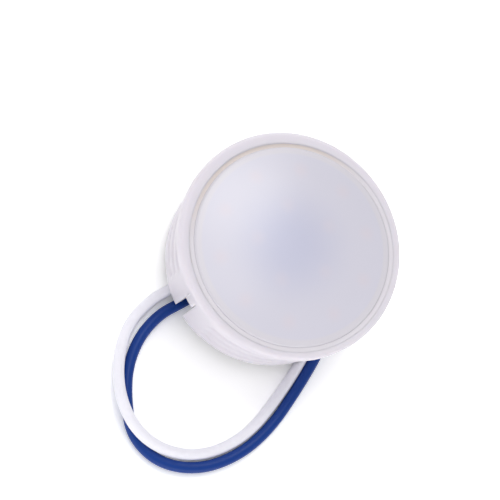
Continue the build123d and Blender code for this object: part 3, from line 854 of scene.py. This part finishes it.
def round_post(radius, circle, angle, low, high):
    """A round post on a circle about the lamp's axis, for the boolean that adds or cuts it."""
    bm = bmesh.new()
    middle = Vector((*on_circle(circle, angle), 0))
    lathe(bm, [(0.0, low), (radius, low), (radius, high), (0.0, high)], even_turn(48), middle, close=False)
    return built("post", bm)


def stadium(name, middle, pitch, loops):
    """A closed shape at the leads' height, with round ends pitch apart, through loops (end radius, y) in mm."""
    bm = bmesh.new()
    rings, steps = [], 14
    for radius, y in loops:
        ring = []
        for side in (1, -1):
            for i in range(steps + 1):
                turn = -math.pi / 2 + math.pi * i / steps
                x = middle + side * (pitch / 2 + radius * math.cos(turn))
                z = LEAD_EXIT + side * radius * math.sin(turn)
                ring.append(bm.verts.new((x * MM, y * MM, z * MM)))
        rings.append(ring)
    skin(bm, rings)
    return built(name, bm)


class PUCK_OT_cover(bpy.types.Operator):
    """Builds the rear cover: driver cup, plate, posts and the flat pad that the leads leave by"""
    bl_idname = "puck.cover"
    bl_label = "Rear cover"

    def execute(self, context):
        size = context.scene.puck_cover
        cup, bore, edge, top = size.cup_radius, size.cup_bore, COVER_HIGH.x, LEDGE_UNDER - 0.5
        under = top - size.plate
        lap = 0.2      # how far what is joined on reaches into the moulding
        rows = [(0.0, 0.0)] + arc((cup - 0.4, 0.4), 0.4, -90, 0, 5)
        rows += arc((cup + 0.6, under - 0.6), 0.6, 180, 90, 6) + arc((edge - 0.3, under + 0.3), 0.3, -90, 0, 4)
        rows += arc((edge - 0.3, top - 0.3), 0.3, 0, 90, 4) + arc((bore + 0.3, top - 0.3), 0.3, 90, 180, 4)
        rows += arc((bore - 0.5, size.floor + 0.5), 0.5, 0, -90, 5) + [(0.0, size.floor)]
        bm = bmesh.new()
        lathe(bm, rows, even_turn(192), close=False)
        piece = built("moulded_rear_cover", bm)
        pad = bmesh.new()
        half = size.pad_width / 2
        bevelled_box(pad, (LEADS_X - half, -size.pad_face, 0.0), (LEADS_X + half, -bore - lap, size.pad_height), 0.35)
        boolean(piece, built("pad", pad), "UNION")
        for angle in BOARD_POSTS:
            boolean(piece, round_post(1.0, 8.6, angle, size.floor - lap, 6.0), "UNION")
        for angle in SPREADER_POSTS:
            boolean(piece, round_post(1.8, cup + 3.6, angle, top - lap, COVER_HIGH.z), "UNION")
        angles, circle = SCREWS["rear_cover_screws"][:2]
        for angle in angles:
            boolean(piece, round_post(1.9, circle, angle, top - lap, LEDGE_UNDER), "UNION")
            boolean(piece, round_post(1.15, circle, angle, under - 1.0, LEDGE_UNDER + 1.0))
        slot = context.scene.puck_leads.radius + GROMMET_WALL
        boolean(piece, stadium("slot", LEADS_X, LEAD_PITCH, [(slot, 2.0 - bore), (slot, -size.pad_face - 1.0)]))
        material = surface_material("cover_plastic", **FINISHES["white_plastic"], subsurface=0.5)
        finish_mesh(piece, material, LAMP, ["rear_cover"])
        return {"FINISHED"}


class PUCK_OT_grommet(bpy.types.Operator):
    """Builds the soft grommet that both leads leave through"""
    bl_idname = "puck.grommet"
    bl_label = "Lead grommet"

    def execute(self, context):
        lead = context.scene.puck_leads.radius
        face, body = context.scene.puck_cover.pad_face, lead + GROMMET_WALL
        low, high = node_box("lead_grommet")
        flange = (high.z - low.z) / 2
        loops = [(body, high.y), (body, -face), (flange - 0.15, -face), (flange, -face - 0.15),
                 (flange, low.y + 0.3), (flange - 0.3, low.y), (lead + 0.25, low.y)]
        piece = stadium("moulded_grommet", LEADS_X, LEAD_PITCH, loops)
        for x in (LEADS_X - LEAD_PITCH / 2, LEADS_X + LEAD_PITCH / 2):
            boolean(piece, stadium("hole", x, 0.0, [(lead, high.y + 1.0), (lead, low.y - 1.0)]))
        material = surface_material("grommet_rubber", **FINISHES["seal_rubber"], subsurface=0.3)
        finish_mesh(piece, material, LAMP, ["lead_grommet"])
        return {"FINISHED"}


class PUCK_OT_gasket(bpy.types.Operator):
    """Builds the silicone ring round the lens's edge; its top lies deeper on the -X side, where its colour is painted
    in warm shade
    """
    bl_idname = "puck.gasket"
    bl_label = "Lens gasket"

    def execute(self, context):
        outer, inner, foot = SEAT_RADIUS + 0.01, LENS_RADIUS + 0.005, LENS_RADIUS - 1.7
        low, bed, top = GASKET_LOW.z, LENS_LOW.z, GASKET_HIGH.z
        steps = [i / 8 for i in range(9)]
        rows = [(foot, low), (outer, low)]
        rows += [(outer - (outer - inner) * t, top) for t in steps]
        rows += [(inner, bed), (foot, bed)]
        bm = bmesh.new()
        angles = even_turn(240)
        rings = lathe(bm, rows, angles, OPTICS)
        start = 0.2      # cosine of the angle from the deepest direction at which the top begins to sink
        for t, ring in zip(steps, rings[2:]):
            flush, sunk = self.flush(t), self.sunk(t)
            for vert, angle in zip(ring, angles):
                away = max(0.0, math.cos(angle - SEAL_DEEP_SHADE) - start) / (1 - start)
                deep_shade = away**2 * (3 - 2 * away)
                reach = (1 - t) ** 3 * (0.19 * (1 - deep_shade) + 0.05 * deep_shade)
                across = (vert.co.xy - OPTICS.xy * MM).normalized()
                vert.co.xy += across * reach * MM
                vert.co.z = (flush + (sunk - flush) * deep_shade) * MM
        finish_mesh(built("lens_seal_ring", bm), seal_material(), LAMP, ["lens_gasket"])
        return {"FINISHED"}

    @staticmethod
    def flush(t):
        """Height of the top where it fills the gap, from the rim at t = 0 to the lens at t = 1."""
        return RIM_TOP - 0.15 - 0.06 * t - 0.2 * t * (1 - t)

    @staticmethod
    def sunk(t):
        """Height of the top where it lies deeper."""
        return RIM_TOP - 0.35 - 0.2 * t - 0.3 * t * (1 - t)


# ---------------------------------------------------------------- leads
# points that each lead is drawn towards, from the grommet's outer face to the end of its insulation
WHITE_ROUTE = [
    (-5.0, -13.4, 2.4), (-5.0, -16.4, 2.4), (-5.0, -21.5, 1.3), (-5.0, -27.2, 1.27), (-2.5, -34.8, 1.27),
    (4.0, -41.2, 2.385), (11.0, -44.8, 4.1), (18.5, -45.1, 4.1), (25.2, -41.3, 2.385), (30.4, -33.8, 1.27),
    (31.2, -23.0, 1.27), (27.0, -11.9, 1.27), (22.8, -3.3, 1.27), (18.2, 4.2, 1.27), (12.6, 10.6, 1.27),
    (5.6, 15.0, 1.27)]
BLUE_ROUTE = [
    (-1.2, -13.4, 2.4), (-1.2, -16.4, 2.4), (-1.2, -21.5, 1.3), (-1.3, -27.0, 1.27), (0.9, -33.5, 1.27),
    (5.6, -39.3, 1.27), (12.0, -43.2, 1.27), (19.0, -45.8, 1.27), (26.8, -43.4, 1.27), (32.3, -36.2, 1.27),
    (33.9, -26.8, 1.27), (32.3, -17.7, 1.27), (28.4, -8.8, 1.27), (24.0, -0.3, 1.27), (19.1, 7.4, 1.27),
    (12.0, 15.1, 1.27)]
LEADS = {"white": (WHITE_ROUTE, 120.4), "blue": (BLUE_ROUTE, 117.0)}      # each lead's route and its length


def lead_curve(name, route, radius):
    """A lead as one smooth NURBS line through its route, round in section."""
    curve = bpy.data.curves.new(name, "CURVE")
    curve.dimensions = "3D"
    curve.bevel_depth = radius * MM
    curve.bevel_resolution = 8
    curve.resolution_u = 12
    curve.use_fill_caps = True
    spline = curve.splines.new("NURBS")
    spline.points.add(len(route) - 1)
    for point, place in zip(spline.points, route):
        point.co = (*[c * MM for c in place], 1.0)
    spline.order_u = 3
    spline.use_endpoint_u = True
    return link(name, curve)


def strand_tree():
    """Geometry tree: wires twisted round a straight line, with one more wire along it."""
    if "Twisted Strands" in bpy.data.node_groups:
        return bpy.data.node_groups["Twisted Strands"]
    graph, start, end = new_group(
        "Twisted Strands", "GeometryNodeTree",
        {"Geometry": (GEOMETRY, None), "Wires": (INT, 6), "Reach": (FLOAT, 0.38 * MM),
         "Wire Radius": (FLOAT, 0.22 * MM), "Turns": (FLOAT, 0.7), "Material": (MATERIAL, None)},
        {"Geometry": (GEOMETRY, None)})
    value = start.outputs
    line = graph.add("GeometryNodeMeshToCurve", {"Mesh": value["Geometry"]}).outputs[0]
    line = graph.add("GeometryNodeResampleCurve", {"Curve": line, "Count": 36}).outputs[0]
    wires = graph.add("GeometryNodeDuplicateElements", {"Geometry": line, "Amount": value["Wires"]}, domain="SPLINE")
    along = graph.add("GeometryNodeSplineParameter").outputs["Factor"]
    share = graph.math("DIVIDE", wires.outputs["Duplicate Index"], value["Wires"])
    turn = graph.math("MULTIPLY", graph.math("MULTIPLY_ADD", along, value["Turns"], share), 2 * math.pi)
    normal = graph.add("GeometryNodeInputNormal").outputs[0]
    across = graph.vector("CROSS_PRODUCT", graph.add("GeometryNodeInputTangent").outputs[0], normal)
    reach = graph.math("MULTIPLY", value["Reach"], graph.smooth(along, 0.8, 1.0, 1.0, 0.82))
    offset = graph.vector("ADD", graph.scaled(normal, graph.math("MULTIPLY", graph.math("COSINE", turn), reach)),
                          graph.scaled(across, graph.math("MULTIPLY", graph.math("SINE", turn), reach)))
    twisted = graph.add("GeometryNodeSetPosition", {"Geometry": wires.outputs["Geometry"], "Offset": offset})
    join = graph.add("GeometryNodeJoinGeometry", {"Geometry": twisted.outputs[0]})
    graph.feed(join.inputs[0], line)
    section = graph.add("GeometryNodeCurvePrimitiveCircle", {"Resolution": 12, "Radius": value["Wire Radius"]})
    solid = graph.add("GeometryNodeCurveToMesh", {"Curve": join.outputs[0], "Profile Curve": section.outputs[0],
                                                  "Fill Caps": True})
    return painted(graph, end, solid.outputs[0], value["Material"])


def stripped_tip(colour, route, length, radius):
    """The tinned strands that carry on straight from the end of a lead."""
    before, last = (Vector(point) for point in route[-2:])
    along = (last - before).normalized()
    mesh = bpy.data.meshes.new(f"{colour}_strands")
    mesh.from_pydata([(last - along * 0.4) * MM, (last + along * length) * MM], [(0, 1)], [])
    piece = link(f"{colour}_tinned_strands", mesh)
    material = surface_material(f"{colour}_tinned", **FINISHES["tinned"])
    run_tree(piece, strand_tree(), {"Reach": radius * 0.64 * MM, "Wire Radius": radius * 0.36 * MM,
                                    "Material": material})
    return finish_mesh(piece, material, LAMP, [f"{colour}_lead_tip"])


class PUCK_OT_leads(bpy.types.Operator):
    """Builds the white and the blue lead"""
    bl_idname = "puck.leads"
    bl_label = "Leads"

    def execute(self, context):
        size = context.scene.puck_leads
        for colour, shade in (("white", size.white), ("blue", size.blue)):
            route, length = LEADS[colour]
            piece = lead_curve(f"{colour}_hookup_lead", route, size.radius)
            piece.data.materials.append(surface_material(
                f"{colour}_insulation", shade, roughness=0.34, mottle=0.08, grain=0.02, grain_scale=2600.0,
                mottle_scale=900.0, specular=0.18))
            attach(piece, LAMP)
            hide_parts(f"{colour}_lead")
            tip = stripped_tip(colour, route, size.tip_length, size.conductor)
        return {"FINISHED"}


# ---------------------------------------------------------------- carried-over nodes
class PUCK_OT_inside(bpy.types.Operator):
    """Gives the pieces that are kept from the frame their finishes"""
    bl_idname = "puck.inside"
    bl_label = "Inner pieces"

    def execute(self, context):
        made = {}
        for row in frame["record"]["subparts"]:
            node, slot = row["node"], row["material_slot"]
            if slot not in FINISHES:
                continue
            if slot not in made:
                made[slot] = surface_material(f"finish_{slot}", **FINISHES[slot])
            mesh = frame["nodes"][node].data
            mesh.materials.clear()
            mesh.materials.append(made[slot])
        return {"FINISHED"}


# ---------------------------------------------------------------- stage
AIM = Vector((-3.81, -4.25, 9.49)) * MM      # the point that the camera looks at
LIGHT_DISTANCE = 0.9
# for each light: the way to it from the lamp, the way of its long side, its size in m, its power in W, and the
# setting that scales it
LIGHTS = {
    "key": ((-0.25, 0.14, 0.958), (-0.64, 0.77, 0), (0.45, 0.65), 1.65, "key"),
    "key_side": ((-0.48, 0.3, 0.83), (-0.64, 0.77, 0), (0.45, 0.65), 1.47, "key"),
    "key_small": ((-0.36, 0.29, 0.89), (-0.64, 0.77, 0), (0.3, 0.3), 0.3, "key"),
    "fill_left": ((-0.2, -0.95, 0.2), (1, -0.2, 0), (0.3, 0.9), 1.35, "fill"),
    "fill_right": ((0.87, -0.44, 0.2), (0.44, 0.87, 0), (0.3, 0.9), 2.75, "fill"),
    "fill_far": ((-0.55, 0.65, 0.52), (0.76, 0.65, 0), (0.4, 0.6), 0.25, "fill"),
}


def camera_axes(stage):
    """The camera's right, up and back directions from its azimuth, elevation and roll."""
    a, e, r = (math.radians(v) for v in (stage.azimuth, stage.elevation, stage.roll))
    back = Vector((math.sin(a) * math.cos(e), -math.cos(a) * math.cos(e), math.sin(e)))
    level = Vector((math.cos(a), math.sin(a), 0))
    over = back.cross(level)
    return level * math.cos(r) + over * math.sin(r), over * math.cos(r) - level * math.sin(r), back


def put(piece, place, axes):
    """Puts a camera or a light at a place; its axes are its right, up and back directions."""
    piece.matrix_world = Matrix.Translation(place) @ Matrix(axes).transposed().to_4x4()


def soft_light(name, towards, edge, size, power):
    """A rectangular soft light that faces the lamp from a direction; its long side runs along edge."""
    light = bpy.data.lights.new(name, "AREA")
    light.shape = "RECTANGLE"
    light.size, light.size_y = size
    light.energy = power
    back = Vector(towards).normalized()
    across = Vector(edge).cross(back).normalized()
    put(link(name, light), back * LIGHT_DISTANCE + Vector((0, 0, 0.01)), (across, back.cross(across), back))


def studio_world():
    """A white world, a little dimmer overhead, that is plain white for the camera and through what is clear."""
    world = bpy.data.worlds.new("studio")
    world.use_nodes = True
    graph = Graph(world.node_tree)
    path = graph.add("ShaderNodeLightPath")
    seen = graph.math("MAXIMUM", path.outputs["Is Camera Ray"], path.outputs["Is Transmission Ray"])
    place = graph.add("ShaderNodeTexCoord").outputs["Generated"]
    height = graph.add("ShaderNodeSeparateXYZ", {0: place}).outputs[2]
    light = graph.smooth(height, 0.15, 0.95, 0.7, 0.54)
    background = world.node_tree.nodes["Background"]
    background.inputs["Color"].default_value = (1, 1, 1, 1)
    graph.feed(background.inputs["Strength"], graph.math("MAXIMUM", light, seen))
    return world


class PUCK_OT_stage(bpy.types.Operator):
    """Builds the white table, the camera, the soft lights and the white world"""
    bl_idname = "puck.stage"
    bl_label = "Stage"

    def execute(self, context):
        stage = context.scene.puck_stage
        bm = bmesh.new()
        bmesh.ops.create_grid(bm, x_segments=2, y_segments=2, size=3.0)
        table = built("table", bm)
        table.data.materials.append(stage_material())
        camera = link("camera", bpy.data.cameras.new("camera"))
        context.scene.camera = camera
        camera.data.lens, camera.data.sensor_width = stage.lens, 36.0
        camera.data.clip_start, camera.data.clip_end = 0.01, 20.0
        axes = camera_axes(stage)
        put(camera, AIM + axes[-1] * stage.distance * MM, axes)
        for name, (towards, edge, size, power, setting) in LIGHTS.items():
            soft_light(name, towards, edge, size, power * getattr(stage, setting))
        context.scene.world = studio_world()
        context.scene.view_settings.view_transform = "Standard"
        return {"FINISHED"}


class PUCK_PT_panel(bpy.types.Panel):
    """Lists the steps that build the lamp"""
    bl_label = "Lamp Puck"
    bl_idname = "PUCK_PT_panel"
    bl_space_type = "VIEW_3D"
    bl_region_type = "UI"
    bl_category = "Lamp Puck"

    def draw(self, context):
        for step in STEPS:
            self.layout.operator(step.bl_idname)
        for group, kind in SETTINGS.items():
            box = self.layout.box()
            for prop in kind.__annotations__:
                box.prop(getattr(context.scene, group), prop)


STEPS = [PUCK_OT_stage, PUCK_OT_leads, PUCK_OT_housing, PUCK_OT_lens, PUCK_OT_gasket, PUCK_OT_leds, PUCK_OT_screws,
         PUCK_OT_cover, PUCK_OT_grommet, PUCK_OT_inside]
CLASSES = [*SETTINGS.values(), *STEPS, PUCK_PT_panel]


def register():
    """Registers the classes and gives the scene its settings."""
    for cls in CLASSES:
        bpy.utils.register_class(cls)
    for name, group in SETTINGS.items():
        setattr(bpy.types.Scene, name, PointerProperty(type=group))


def unregister():
    """Takes the settings and the classes away again."""
    for name in SETTINGS:
        delattr(bpy.types.Scene, name)
    for cls in reversed(CLASSES):
        bpy.utils.unregister_class(cls)


def main():
    """Runs every step in turn."""
    register()
    for step in STEPS:
        group, call = step.bl_idname.split(".")
        getattr(getattr(bpy.ops, group), call)()


if __name__ == "__main__":
    main()
